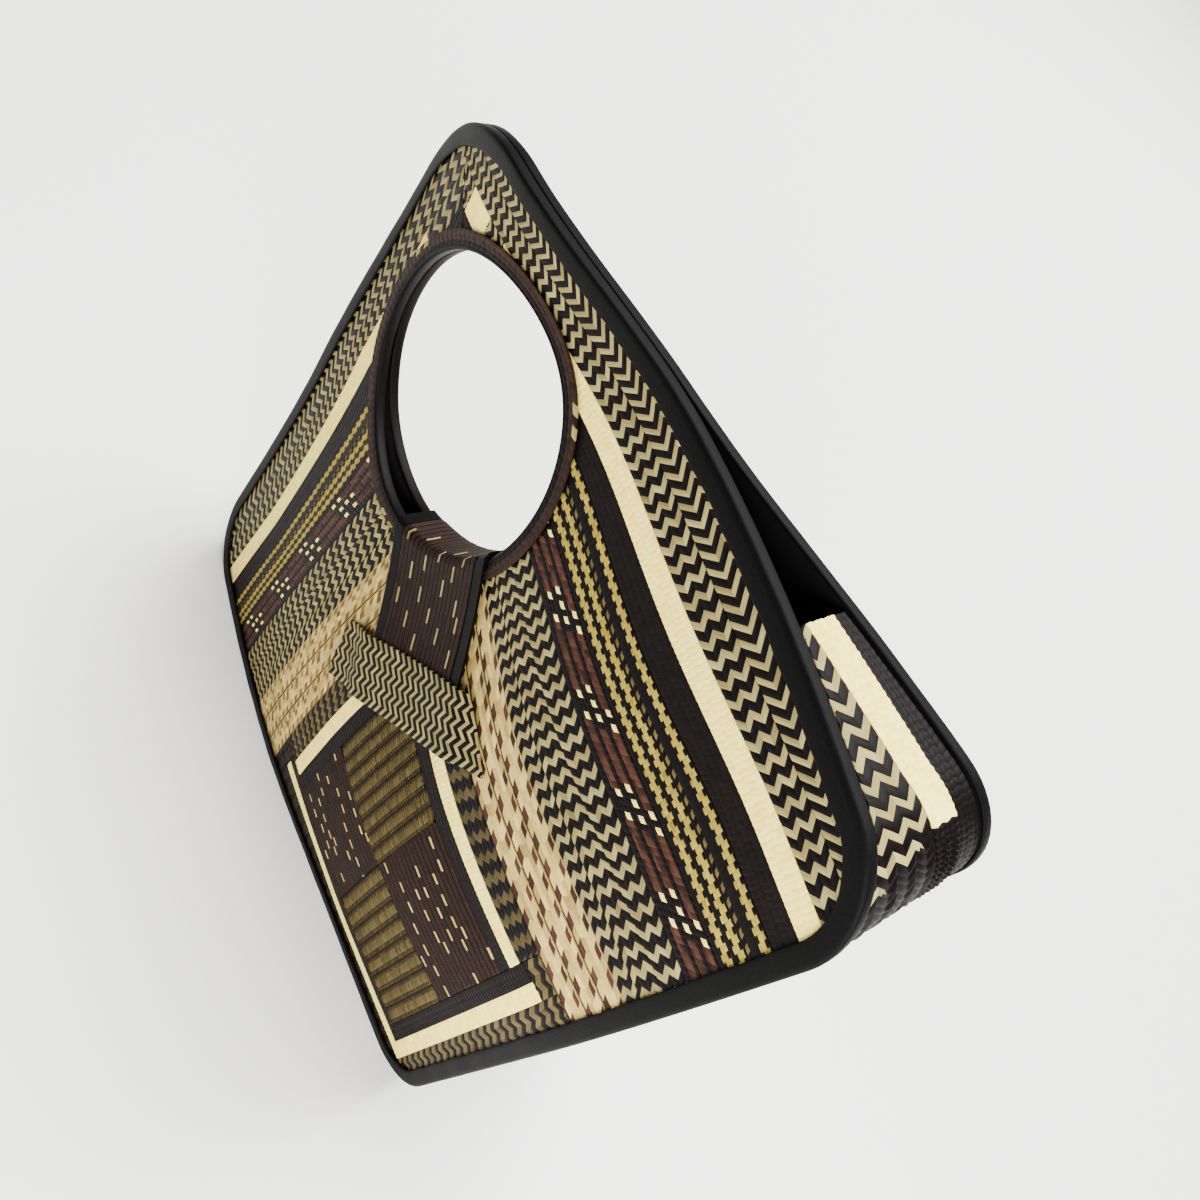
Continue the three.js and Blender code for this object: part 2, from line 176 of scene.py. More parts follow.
def addNode(tree, kind, sockets=None, **settings):
    node = tree.nodes.new(kind)
    for name, value in settings.items():
        setattr(node, name, value)
    fillSockets(tree, node, sockets or {})
    return node


def newMaterial(name):
    material = bpy.data.materials.new(name)
    material.use_nodes = True
    return material, material.node_tree, material.node_tree.nodes["Principled BSDF"]


# Fibres are about 0.3 mm apart, drawn at 0.6 mm to show, and about 7 mm long; the strand map is in mm
fibreLook = {"spacing": 0.6, "run": 7.0, "streak": 0.7, "bump": 0.35, "bumpHeight": 0.0002}


# Cane split by hand into flat strands: each strand has its own tone, and long fibres streak the satin skin
def splitCane(name, tint, shade, roughness):
    material, tree, shader = newMaterial(name)
    strand = addNode(tree, "ShaderNodeUVMap", uv_map="strand")
    scale = (1 / fibreLook["run"], 1 / fibreLook["spacing"], 1)
    drawn = addNode(tree, "ShaderNodeMapping", {"Vector": strand.outputs["UV"], "Scale": scale})
    fibre = addNode(tree, "ShaderNodeTexNoise", {"Vector": drawn.outputs[0], "Scale": 1.0, "Detail": 2.0})
    tone = addNode(tree, "ShaderNodeAttribute", attribute_name="tone")
    streaks = {0: fibre.outputs[0], 1: fibreLook["streak"], 2: tone.outputs["Fac"]}
    spread = addNode(tree, "ShaderNodeMath", streaks, operation="MULTIPLY_ADD")
    tints = {0: spread.outputs[0], 6: linear(shade), 7: linear(tint)}
    colour = addNode(tree, "ShaderNodeMix", tints, data_type="RGBA")
    bump = {"Height": fibre.outputs[0], "Strength": fibreLook["bump"], "Distance": fibreLook["bumpHeight"]}
    ridge = addNode(tree, "ShaderNodeBump", bump)
    fillSockets(tree, shader, {
        "Base Color": colour.outputs[2], "Normal": ridge.outputs[0], "Roughness": roughness, "IOR": 1.53,
        "Specular IOR Level": 0.06,  # the fibres break up most of the shine
    })
    return material


cane = {
    "pale": splitCane("split cane, weathered", "#a6985f", "#5f532d", 0.6),
    "cream": splitCane("split cane, natural", "#fff082", "#f4d262", 0.6),
    "straw": splitCane("split cane, sun-browned", "#d0b76c", "#8d763c", 0.6),
    "black": splitCane("split cane, dyed black", "#080403", "#020101", 0.55),
    "dark": splitCane("split cane, dyed brown-black", "#0e0806", "#050302", 0.6),
    "brown": splitCane("split cane, dyed dark brown", "#2f1e16", "#150c08", 0.6),
    "red": splitCane("split cane, dyed red-brown", "#4a2c20", "#23130d", 0.6),
    "mustard": splitCane("split cane, dyed mustard", "#ac983c", "#70601f", 0.55),
    "olive": splitCane("split cane, dyed olive", "#695b33", "#3b3118", 0.55),
    # drab and moss are real dyed strands, and in the olive cells they also paint the shade on the ribs'
    # flanks and gaps
    "drab": splitCane("split cane, dyed grey-olive, also painted rib shade", "#524628", "#2b2412", 0.55),
    "moss": splitCane("split cane, dyed dark olive", "#251e0e", "#0f0c04", 0.55),
    "tan": splitCane("split cane, smoked", "#7d6236", "#4e3a1c", 0.6),
}
caneNames = list(cane)

leatherLook = {"colour": "#030303", "grain": 1.205, "bump": 0.25, "bumpHeight": 0.0002}  # grain in mm


# Leatherette: calendered vinyl on cloth, smooth with a fine grain and hardly any shine
def leatherette():
    material, tree, shader = newMaterial("leatherette, calendered black")
    place = addNode(tree, "ShaderNodeTexCoord")
    scale = 1000 / leatherLook["grain"]
    grain = addNode(tree, "ShaderNodeTexVoronoi", {"Vector": place.outputs["Object"], "Scale": scale})
    bump = {"Height": grain.outputs["Distance"], "Strength": leatherLook["bump"],
            "Distance": leatherLook["bumpHeight"]}
    dent = addNode(tree, "ShaderNodeBump", bump)
    fillSockets(tree, shader, {
        "Base Color": linear(leatherLook["colour"]), "Normal": dent.outputs[0], "Roughness": 0.6,
        "IOR": 1.5, "Specular IOR Level": 0.06,  # the worn grain traps most of the shine
    })
    return material


liningLook = {"tint": "#0a0a0a", "shade": "#040404", "thread": 0.8}  # 0.4 mm threads, drawn coarser


# Lining: plain woven cotton dyed black, matt, with its thread only just seen
def liningCotton():
    material, tree, shader = newMaterial("cotton lining, plain woven, dyed black")
    place = addNode(tree, "ShaderNodeTexCoord")
    scale = 1000 / liningLook["thread"]
    thread = addNode(tree, "ShaderNodeTexNoise", {"Vector": place.outputs["Object"], "Scale": scale})
    tints = {0: thread.outputs[0], 6: linear(liningLook["shade"]), 7: linear(liningLook["tint"])}
    colour = addNode(tree, "ShaderNodeMix", tints, data_type="RGBA")
    fillSockets(tree, shader, {
        "Base Color": colour.outputs[2], "Roughness": 0.85, "Sheen Weight": 0.03, "IOR": 1.46,
        "Specular IOR Level": 0.05,  # loose threads scatter the light
    })
    return material


tapeMaterial = leatherette()
liningMaterial = liningCotton()
print("materials made")

# What all floats share: how uneven rows and heights are, and the height and tones where a band states none
weave = {
    "rowJitter": 0.05, "edgeHeight": 0.3, "ribHeight": 0.8, "ribSpread": 0.03, "floatSpread": 0.12,
    "rise": 0.45, "tone": 0.15, "mottle": 0.13, "toneLow": -0.3, "toneHigh": 0.6, "fibreDrift": 90,
}


# Quads of a grid of points, and the row and column of each
def gridQuads(rows, columns):
    i, j = (grid.ravel() for grid in np.meshgrid(np.arange(rows), np.arange(columns), indexing="ij"))
    corner = i * (columns + 1) + j
    return np.stack([corner, corner + 1, corner + columns + 2, corner + columns + 1], -1), i, j


# One woven band: columns of leaning floats, each float a small dome, with t along the band and x across it
def weaveBand(band, seed):
    chance = np.random.default_rng(seed)
    borders = np.array(band["borders"], float)
    columns = len(borders) - 1
    if "leans" in band:
        leans = np.array(band["leans"], float)
    else:
        leans = band["lean"] * (-1.0) ** (np.arange(columns) + band.get("turn", 0))
    across, along = band.get("steps", (3, 2))
    cell = band["cell"]
    rowsAt = [band["start"]]
    while rowsAt[-1] < band["end"]:
        size = cell(rowsAt[-1]) if callable(cell) else cell
        size = size * (1 - band.get("uneven", 0) * (-1) ** (len(rowsAt) - 1))
        rowsAt.append(rowsAt[-1] + size * (1 + weave["rowJitter"] * chance.standard_normal()))
    rows = len(rowsAt) - 1
    c = np.arange(columns * across + 1)
    r = np.arange(rows * along + 1)
    x = np.interp(c / across, np.arange(columns + 1), borders)
    zig = np.interp(x, borders, np.concatenate([[0], np.cumsum(leans * np.diff(borders))]))
    t = np.interp(r / along, np.arange(rows + 1), rowsAt)
    # the zigzag deepens with its pitch
    stretch = np.array([cell(v) for v in t]) / cell(side) if callable(cell) else np.ones(len(t))
    f, g = (c % across) / across, (r % along) / along
    swell = np.full(len(g), weave["ribHeight"]) if band.get("ribbed") else np.sin(math.pi * g)
    crown = weave["edgeHeight"] + (1 - weave["edgeHeight"]) * np.sin(math.pi * f)
    spread = weave["ribSpread"] if band.get("ribbed") else weave["floatSpread"]
    lift = chance.normal(1, spread, (rows + 1, columns + 1))
    dome = crown[None, :] * swell[:, None]
    dome = dome * lift[np.minimum(r // along, rows)][:, np.minimum(c // across, columns)]
    gridT = t[:, None] + stretch[:, None] * (zig - zig.mean())[None, :] + band.get("phase", 0)
    gridX = np.repeat(x[None, :], len(r), 0)
    quads, ii, jj = gridQuads(rows * along, columns * across)
    column, row = jj // across, ii // along
    tones = chance.normal(weave["tone"], band.get("mottle", weave["mottle"]), (rows, columns))
    tones = np.clip(tones, weave["toneLow"], weave["toneHigh"])
    drift = chance.uniform(0, weave["fibreDrift"], (rows, columns))[row, column][:, None]
    # the strand map: u along the float and v across it
    slant = np.sqrt(1 + leans ** 2)[column]
    size = (borders[column + 1] - borders[column]) / across * slant
    step = np.diff(rowsAt)[row] / along / slant
    u = (jj % across)[:, None] + np.array([0, 1, 1, 0])
    v = (ii % along)[:, None] + np.array([0, 0, 1, 1])
    strand = np.stack([u * size[:, None] + drift, v * step[:, None] + drift], -1)
    colour = np.zeros(len(quads), int)
    for j in range(columns):
        pair = band["colours"][j % len(band["colours"])]
        pair = (pair, pair) if isinstance(pair, str) else pair
        chosen = np.array([caneNames.index(name) for name in pair])
        here = column == j
        colour[here] = chosen[row[here] % len(pair)]
    for dash in band.get("dashes", []):
        inRow = np.isin((row + dash.get("late", 0)) % dash["every"], dash["rows"])
        colour[np.isin(column, dash["columns"]) & inRow] = caneNames.index(dash["colour"])
    return {
        "t": gridT.ravel(), "x": gridX.ravel(), "dome": dome.ravel() * band.get("rise", weave["rise"]),
        "r": np.repeat(r, len(c)), "c": np.tile(c, len(r)), "across": across, "along": along,
        "quads": quads, "colour": colour, "tone": tones[row, column], "strand": strand,
    }


# A closed sheet from its outer and inner points: the kept faces on both, and walls round their border
def closeSheet(woven, outer, inner, keep):
    quads = woven["quads"][keep]
    used, flat = np.unique(quads, return_inverse=True)
    quads = flat.reshape(-1, 4)
    count = len(used)
    starts, ends = quads.ravel(), np.roll(quads, -1, 1).ravel()
    owner = np.repeat(np.arange(len(quads)), 4)
    border = ~np.isin(starts * count + ends, ends * count + starts)
    a, b, owner = starts[border], ends[border], owner[border]
    walls = np.stack([b, a, a + count, b + count], -1)
    colour, tone, strand = (woven[key][keep] for key in ("colour", "tone", "strand"))
    return {
        "points": np.concatenate([outer[used], inner[used]]),
        "faces": np.concatenate([quads, quads[:, ::-1] + count, walls]),
        "colour": np.concatenate([colour, colour, colour[owner]]),
        "tone": np.concatenate([tone, tone, tone[owner]]),
        "strand": np.concatenate([strand, strand[:, ::-1], np.zeros((len(walls), 4, 2))]),
        "r": np.tile(woven["r"][used], 2), "c": np.tile(woven["c"][used], 2),
        "across": woven["across"], "along": woven["along"],
    }


# What a sheet without floats carries instead of their colours, tones, strands and creases
def unwoven(pointCount, faceCount):
    return {
        "colour": np.zeros(faceCount, int), "tone": np.zeros(faceCount),
        "strand": np.zeros((faceCount, 4, 2)),
        "r": np.ones(pointCount, int), "c": np.ones(pointCount, int), "across": 2, "along": 2,
    }


def signedVolume(points, faces):
    a, b, c, d = (points[faces[:, k]] for k in range(4))
    return (np.einsum("ij,ij->", a, np.cross(b, c)) + np.einsum("ij,ij->", a, np.cross(c, d))) / 6


# A piece of the bag from one or more closed sheets, riding on the frame and standing for its CAD node
def addPiece(node, finish, sheets, material=None):
    name = f"{node}_{finish}"
    faces, strand, creased, count = [], [], [], 0
    for sheet in sheets:
        turned = signedVolume(sheet["points"], sheet["faces"]) < 0
        faces.append((sheet["faces"][:, ::-1] if turned else sheet["faces"]) + count)
        strand.append(sheet["strand"][:, ::-1] if turned else sheet["strand"])
        onRow = np.where(sheet["r"] % sheet["along"] == 0, sheet["r"], -1)
        onColumn = np.where(sheet["c"] % sheet["across"] == 0, sheet["c"], -1)
        creased.append(np.stack([onRow, onColumn], -1))
        count += len(sheet["points"])
    faces, strand, creased = (np.concatenate(parts) for parts in (faces, strand, creased))
    points, colour, tone = (np.concatenate([sheet[key] for sheet in sheets])
                            for key in ("points", "colour", "tone"))
    mesh = bpy.data.meshes.new(name)
    mesh.from_pydata(points.tolist(), [], faces.tolist(), shade_flat=False)
    materials = [material]
    if material is None:
        shown = np.unique(colour)
        materials = [cane[caneNames[k]] for k in shown]
        colour = np.searchsorted(shown, colour)
    for look in materials:
        mesh.materials.append(look)
    mesh.polygons.foreach_set("material_index", colour.astype(np.int32))
    mesh.attributes.new("tone", "FLOAT", "FACE").data.foreach_set("value", tone.astype(np.float32))
    mesh.uv_layers.new(name="strand").data.foreach_set("uv", strand.astype(np.float32).ravel())
    # an edge between two floats stays sharp
    ends = np.empty(len(mesh.edges) * 2, np.int32)
    mesh.edges.foreach_get("vertices", ends)
    first, second = creased[ends[0::2]], creased[ends[1::2]]
    sharp = ((first == second) & (first >= 0)).any(1)
    mesh.attributes.new("sharp_edge", "BOOLEAN", "EDGE").data.foreach_set("value", sharp)
    mesh.update()
    piece = bpy.data.objects.new(name, mesh)
    bpy.context.collection.objects.link(piece)
    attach(piece, "root")
    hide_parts(node)
    return piece


# Borders of a band's columns, all of one width
def evenly(low, high, columns):
    return np.linspace(low, high, columns + 1)


# Half the zigzag's pitch at some places along the braid, as the weaver's hand changed it
pitch = {
    "rightWide": ([40, 100, 220, 260], [1.95, 2.38, 2.93, 2.6]),
    "rightFine": ([40, 100, 220, 260], [2.25, 2.7, 3.2, 3.1]),
    "leftWide": ([40, 100, 190, 260], [4.2, 3.4, 2.8, 2.9]),
    "leftFine": ([40, 130, 190, 260], [4.1, 3.0, 2.6, 2.85]),
    "rightInner": ([110, 160, 220, 260], [2.4, 2.7, 3.12, 3.2]),
    "leftInner": ([110, 190, 260], [2.9, 3.1, 2.75]),
}


def pitchOf(name):
    return lambda t: float(np.interp(t, *pitch[name]))


# Each band by its column borders from the panel's upper edge, and by its start and end along that edge
paleOnBlack = {"colours": [("pale", "black")], "uneven": 0.14}  # zigzag with narrower pale floats
plain = {"cell": 2.0, "lean": 0.3, "rise": 0.32, "mottle": 0.24, "steps": (2, 2)}  # fine unpatterned braid
fromHole = {"start": 60, "end": 302}


def zigzagOuter(half):
    wide = {"borders": [-1.2, 3.0, 7.1, 11.4], "leans": [-0.9, 0.95, -0.9], "cell": pitchOf(half + "Wide")}
    fine = {"borders": [11.6, 14.4, 17.1, 19.8, 22.4], "leans": [1.0, -1.0, 1.0, -0.9], "phase": 1.2,
            "cell": pitchOf(half + "Fine")}
    return [{**band, **paleOnBlack, "start": -4, "end": 302} for band in (wide, fine)]


def creamDark(half):  # alike in both halves
    return [{**plain, **fromHole, "borders": evenly(22.6, 30.6, 4), "colours": ["cream"]},
            {**plain, **fromHole, "borders": evenly(30.8, 40.2, 4), "colours": ["dark"]}]


def mustardRed(half):
    gap = "black" if half == "right" else "moss"
    # each cord is three columns: its outer ones step left and right in turn, so that it wavers
    cord = [("mustard", gap), "mustard", (gap, "mustard")]
    mustard = {
        **fromHole, "cell": 2.2, "rise": 0.4, "steps": (2, 2), "leans": [0.2] * 5 + [0.8] + [0.2] * 9,
        "borders": [40.4, 41.0, 41.9, 43.4, 44.3, 47.7, 48.9, 49.9,
                    50.8, 52.3, 53.2, 54.9, 55.8, 57.3, 58.2, 60.0],
        "colours": [gap, *cord, gap, ("olive", "black"), gap, *cord, gap, *cord, "black"],
    }
    # three red-brown lines, each broken every 34 mm by a few cream floats on black
    red = {
        **fromHole, "cell": 2.6, "rise": 0.4, "mottle": 0.3, "leans": [-0.7] * 10,
        "borders": [60.1, 61.0, 62.6, 63.5, 65.2, 66.8, 67.7, 69.4, 71.0, 71.9, 74.3],
        "colours": ["black", "red", "red"] * 3 + ["black"], "dashes": [],
    }
    for column, blackRows, creamRows in ((1, (3, 4, 5), (3, 5)), (4, (0, 1, 2, 3, 4, 5), (0, 2, 4)),
                                         (7, (1, 2, 3, 4), (1, 4))):
        red["dashes"] += [
            {"columns": (column, column + 1), "every": 13, "rows": blackRows, "colour": "black"},
            {"columns": (column,), "every": 13, "rows": creamRows, "colour": "cream"},
        ]
    return [mustard, red]


def zigzagInner(half):
    shared = {**paleOnBlack, **fromHole, "cell": pitchOf(half + "Inner"), "lean": 0.95}
    return [{**shared, "borders": evenly(74.5, 85.1, 4)},
            {**shared, "borders": evenly(85.2, 95.8, 4), "phase": 0.8, "turn": 1},
            {**shared, "borders": evenly(95.9, 103.6, 3), "phase": -0.5}]


# Three narrow straw braids with darker seams; flecks are red-brown on the right, smoked on the left
def flecked(half):
    cell, tint, seamTint = (4.6, "red", "brown") if half == "right" else (3.2, "tan", "tan")
    bands = []
    for k, low in enumerate((103.8, 113.3, 122.8)):
        dashes = [{"columns": (1,), "every": 2, "rows": (0,), "colour": tint},
                  {"columns": (4,), "every": 2, "rows": (1,), "colour": tint}]
        if half == "left":
            dashes.append({"columns": (2,), "every": 4, "rows": (1,), "late": k, "colour": tint})
        bands.append({
            **fromHole, "cell": cell, "rise": 0.3, "mottle": 0.24, "leans": [0.5, 1.0, 0.5, -0.5, 1.0, 0.5],
            "borders": [low + part for part in (0, 0.3, 2.4, 4.4, 6.4, 8.5, 9.0)],
            "colours": ["straw"] * 5 + [seamTint], "dashes": dashes,
        })
    return bands


def frameUpper(half):
    cell, tint = (3.6, "drab") if half == "right" else (3.15, "olive")
    zigzag = {"borders": evenly(132.1, 145.9, 6), "lean": 0.9, "cell": cell, "colours": [(tint, "black")],
              "uneven": paleOnBlack["uneven"]}
    cream = {**plain, "borders": evenly(146.1, 151.9, 3), "colours": ["cream"]}
    dark = {**plain, "borders": evenly(152.1, 157.9, 3), "colours": ["dark"]}
    return [{**band, "start": 125, "end": 266, "stop": 264} for band in (zigzag, cream, dark)]


# The framing braid turned along the lower edge: t still runs away from the corner, x towards the lower edge
def frameLower(half):
    turned = {"across": True, "end": 302}
    pair = ("olive", "black") if half == "right" else ("moss", "black")
    corner = {"borders": evenly(264.2, 277.9, 5), "lean": 0.8, "cell": 3.65, "colours": [pair],
              "start": 130, "end": 146, "from": 132.1, "stop": 143}
    dark = {**plain, "borders": evenly(264.2, 270.9, 3), "colours": ["dark"], "start": 140, "from": 143.1}
    cream = {**plain, "borders": evenly(271.1, 277.9, 3), "colours": ["cream"], "start": 140, "from": 143.1}
    zigzag = {"borders": evenly(278.1, 297.5, 8), "lean": 0.9, "cell": 3.3, "colours": [pair],
              "start": 130, "from": 132.1}
    return [{**turned, **band} for band in (corner, dark, cream, zigzag)]


# The patch over the hole: a cream and a dark end among the zigzag
def apexPatch(half):
    dark = {**plain, "colours": ["dark"], "start": 20, "end": 62, "stop": 60}
    if half == "left":
        zigzag = {**paleOnBlack, "borders": evenly(22.6, 30.4, 3), "lean": 1.1, "cell": pitchOf("leftFine"),
                  "start": 18, "end": 64, "from": 22.6, "stop": 60}
        return [zigzag, {**dark, "borders": evenly(30.6, 59.9, 12)}]
    zigzag = {**paleOnBlack, "borders": evenly(22.6, 33.2, 4), "lean": 0.95, "cell": pitchOf("rightFine")}
    cream = {**plain, "borders": evenly(22.6, 33.2, 5), "colours": ["cream"],
             "start": 30, "end": 52, "from": 34.5, "stop": 49}
    return [{**zigzag, "start": 14, "end": 40, "stop": 34.4}, cream,
            {**zigzag, "start": 44, "end": 64, "from": 49.1, "stop": 60},
            {**dark, "borders": evenly(33.4, 59.9, 11)}]


# Block cells: olive ribs run down the panel, each with darker flanks and a dark gap beside it
def oliveCell(low, high):
    ribs = 8
    widths = np.array([0.9, 1.2, 3.0, 1.4] * ribs)
    borders = low + np.concatenate([[0], np.cumsum(widths)]) * (high - low) / widths.sum()
    # painted shade: the flanks' drab and moss stand for the shade on each rib's round, and the moss gap is
    # a dark strand with painted groove shade
    return {"borders": borders, "leans": [0.2, 0.3, 0.2, 0.3] * ribs, "cell": 0.8, "rise": 0.55,
            "steps": (2, 2), "mottle": 0.2,
            "colours": ["moss", ("drab", "moss"), ("olive", "drab"), ("drab", "moss")]}


# Brown lines run across it: a dash's width, a plain width and a gap; some lines carry a chain of dashes
def brownCell(low, high):
    starts = [3, 10, 5, 0, 12, 4, 8, 2, 11, 6, 1, 9, 4, 13, 7]
    counts = [2, 1, 3, 1, 0, 2, 4, 1, 1, 0, 2, 1, 4, 1, 2]
    lines = 16
    width = (high - low) / lines
    borders, dashes = [low], []
    for k in range(lines):
        borders += [low + (k + share) * width for share in (0.38, 0.66, 1)]
        at = (k + int(low)) % len(starts)
        rows = tuple(starts[at] + 2 * step for step in range(counts[at]))
        dashes.append({"columns": (3 * k,), "every": 60, "rows": rows, "colour": "straw"})
    return {"borders": borders, "leans": [-0.4, -0.4, 0.3] * lines, "cell": 4.0, "rise": 0.5,
            "ribbed": True, "colours": ["brown", "brown", "black"], "dashes": dashes}


edgeRoom = 1.3  # from the panel's edge and the hole to the braids, inside the folded tapes


# Lays a band on a panel: right half t along p, left half t along q, turned bands the other way round
def layBand(name, half, band, seed, mitred=True):
    woven = weaveBand(band, seed)
    t, x = woven["t"], woven["x"]
    held = np.clip(t, band.get("from", -math.inf), band.get("stop", math.inf) - panel["seam"])
    if mitred and band.get("across"):
        held = np.minimum(held, x - panel["seam"])
    elif mitred:
        held = np.maximum(held, x + panel["seam"])
    stuck = held != t
    alongP = (half == "right") != bool(band.get("across"))
    p, q = wander(held, x) if alongP else wander(x, held)
    quads = woven["quads"]
    clear = (edgeDistance(p, q) > edgeRoom) & (holeDistance(p, q) > edgeRoom)
    keep = clear[quads].all(1) & ~stuck[quads].all(1)
    outer = onPanel(name, p, q, woven["dome"])
    inner = onPanel(name, p, q, -panel["braidThickness"])
    return closeSheet(woven, outer, inner, keep)


braids = {
    "zigzag_outer": (zigzagOuter, "zigzag_braid"), "cream_dark": (creamDark, "cream_braid"),
    "mustard_red": (mustardRed, "mustard_braid"), "zigzag_inner": (zigzagInner, "zigzag_braid"),
    "flecked": (flecked, "flecked_braid"), "frame_upper": (frameUpper, "frame_braid"),
    "frame_lower": (frameLower, "frame_braid"),
}
# each cell by its reach across and along its lines, and whether these run down the panel
cells = {
    "cell_top": (oliveCell, (158, 211), (158, 211), True, "olive_braid"),
    "cell_right": (brownCell, (158, 211), (211, 264), False, "brown_braid"),
    "cell_left": (brownCell, (211, 264), (158, 211), False, "brown_braid"),
    "cell_base": (oliveCell, (211, 264), (211, 264), True, "olive_braid"),
}
cellSpare = 4  # millimetres woven past a cell's ends, then cut off
seeds = itertools.count(1)


def layBands(name, half, bands):
    return [layBand(name, half, band, next(seeds)) for band in bands]


for name in ("front", "back"):
    for half in ("right", "left"):
        for kind, (bandsOf, slotName) in braids.items():
            addPiece(f"{name}_{half}_{kind}", "woven", layBands(name, half, bandsOf(half)))
    sheets = [sheet for half in ("right", "left") for sheet in layBands(name, half, apexPatch(half))]
    addPiece(f"{name}_apex_patch", "woven", sheets)
    for kind, (bandOf, acrossRange, alongRange, linesDown, slotName) in cells.items():
        gap = panel["seam"]
        band = bandOf(acrossRange[0] + gap, acrossRange[1] - gap)
        band = {**band, "start": alongRange[0] - cellSpare, "end": alongRange[1] + cellSpare,
                "from": alongRange[0] + gap, "stop": alongRange[1]}
        sheet = layBand(name, "left" if linesDown else "right", band, next(seeds), mitred=False)
        addPiece(f"{name}_{kind}", "woven", [sheet])
    print(name, "panel woven")


def lengthOf(line):
    return np.linalg.norm(np.diff(line, axis=0), axis=1).sum()


def resample(line, steps):
    lengths = np.concatenate([[0], np.cumsum(np.linalg.norm(np.diff(line, axis=0), axis=1))])
    at = np.linspace(0, lengths[-1], steps + 1)
    return np.stack([np.interp(at, lengths, line[:, k]) for k in range(line.shape[1])], -1)


outlineSteps = {"corner": 24, "drawn": 1440, "kept": 360}


# The panel's edge as a closed line of points: a rounded square, then bowed and leant
def outlineLine():
    corners = [(0, 0, panel["apexRadius"], 180), (side, 0, panel["sideRadius"], 270),
               (side, side, panel["baseRadius"], 0), (0, side, panel["sideRadius"], 90)]
    line = []
    for cornerP, cornerQ, radius, first in corners:
        centreP = cornerP + (radius if cornerP == 0 else -radius)
        centreQ = cornerQ + (radius if cornerQ == 0 else -radius)
        turn = np.radians(np.linspace(first, first + 90, outlineSteps["corner"]))
        line.append(np.stack([centreP + radius * np.cos(turn), centreQ + radius * np.sin(turn)], -1))
    line = resample(np.concatenate(line + [line[0][:1]]), outlineSteps["drawn"])
    p, q = line[:, 0], line[:, 1]
    lean = panel["lowerLean"] * q / side * (p / side) ** 3
    bent = np.stack([p - panel["bow"] * arch(q) * (1 - p / side) ** 3 - lean,
                     q - panel["bow"] * arch(p) * (1 - q / side) ** 3], -1)
    return resample(bent, outlineSteps["kept"])[:-1]


# Outward directions along a closed line
def normalsOf(line):
    ahead = np.roll(line, -1, 0) - np.roll(line, 1, 0)
    ahead = ahead / np.linalg.norm(ahead, axis=1)[:, None]
    return np.stack([ahead[:, 1], -ahead[:, 0]], -1)


# A closed ring from rows of points, one closed section for each station of a closed line
def ringSheet(points):
    stations, around = points.shape[:2]
    i, k = np.meshgrid(np.arange(stations), np.arange(around), indexing="ij")
    i, k = i.ravel(), k.ravel()
    nextI, nextK = (i + 1) % stations, (k + 1) % around
    quads = np.stack([i * around + k, nextI * around + k, nextI * around + nextK, i * around + nextK], -1)
    return {"points": points.reshape(-1, 3), "faces": quads, **unwoven(stations * around, len(quads))}


# Binding: leatherette tape folded over the panel's edge, with slow wrinkles along it
binding = {"face": 7.5, "top": 1.7, "gap": 0.75, "foot": -3.0, "web": 1.0, "wrinkle": 0.5 / 3,
           "waves": range(7, 60, 4), "wrinkleReach": 0.04, "wrinkleHeight": 0.12, "seed": 300}


# The tape's section: distance in from the edge, and height over the panel's face
def bindingSection():
    face, top, gap, foot, web = (binding[key] for key in ("face", "top", "gap", "foot", "web"))
    return np.array([
        [web, foot], [0.35, foot], [0.08, foot + 0.25], [0, foot + 0.8], [0, 0.1], [0.12, 0.75], [0.5, 1.3],
        [1.2, top - 0.08], [2.4, top], [face * 0.55, top - 0.06], [face - 1.1, top - 0.05],
        [face - 0.4, top - 0.2], [face, gap + 0.25], [face - 0.1, gap], [face * 0.5, gap], [web, gap],
        [web, -1.8],
    ])


def bindingSheet(name, line, seed):
    chance = np.random.default_rng(seed)
    section = bindingSection()
    inwards = -normalsOf(line)
    turn = np.arange(len(line)) / len(line)
    wrinkles = np.zeros(len(line))
    for wave in binding["waves"]:
        size = chance.normal(0, binding["wrinkle"])
        wrinkles += size * np.sin(2 * math.pi * (wave * turn + chance.random()))
    wrinkles = wrinkles[:, None]
    reach = section[:, 0] * (1 + binding["wrinkleReach"] * wrinkles)
    onFace = np.clip(section[:, 1] / binding["top"], 0, 1)
    height = section[:, 1] + binding["wrinkleHeight"] * wrinkles * onFace
    p, q = (line[:, k, None] + inwards[:, k, None] * reach for k in (0, 1))
    return ringSheet(onPanel(name, p, q, height))


outline = outlineLine()
for k, name in enumerate(("front", "back")):
    sheet = bindingSheet(name, outline, binding["seed"] + k)
    addPiece(f"{name}_binding", "tape", [sheet], tapeMaterial)

# Hole trim: a narrow brown braid on the hole's edge, with a black inner edge and a few pale floats
trim = {"face": 7.0, "top": 1.55, "sunk": 0.2, "gap": 0.75, "edge": 1.6, "columns": 3, "cell": 3.0,
        "drawn": 900, "kept": 360, "seed": 320}


def holeLine():
    turn = np.linspace(0.5 * math.pi, 2.5 * math.pi, trim["drawn"] + 1)  # from under the tab and back to it
    across = panel["holeHalfWidth"] * np.cos(turn)
    along = panel["holeAt"] + panel["holeHalfHeight"] * np.sin(turn)
    line = np.stack([(along + across) / diagonal, (along - across) / diagonal], -1)
    return resample(line, trim["kept"])[:-1]


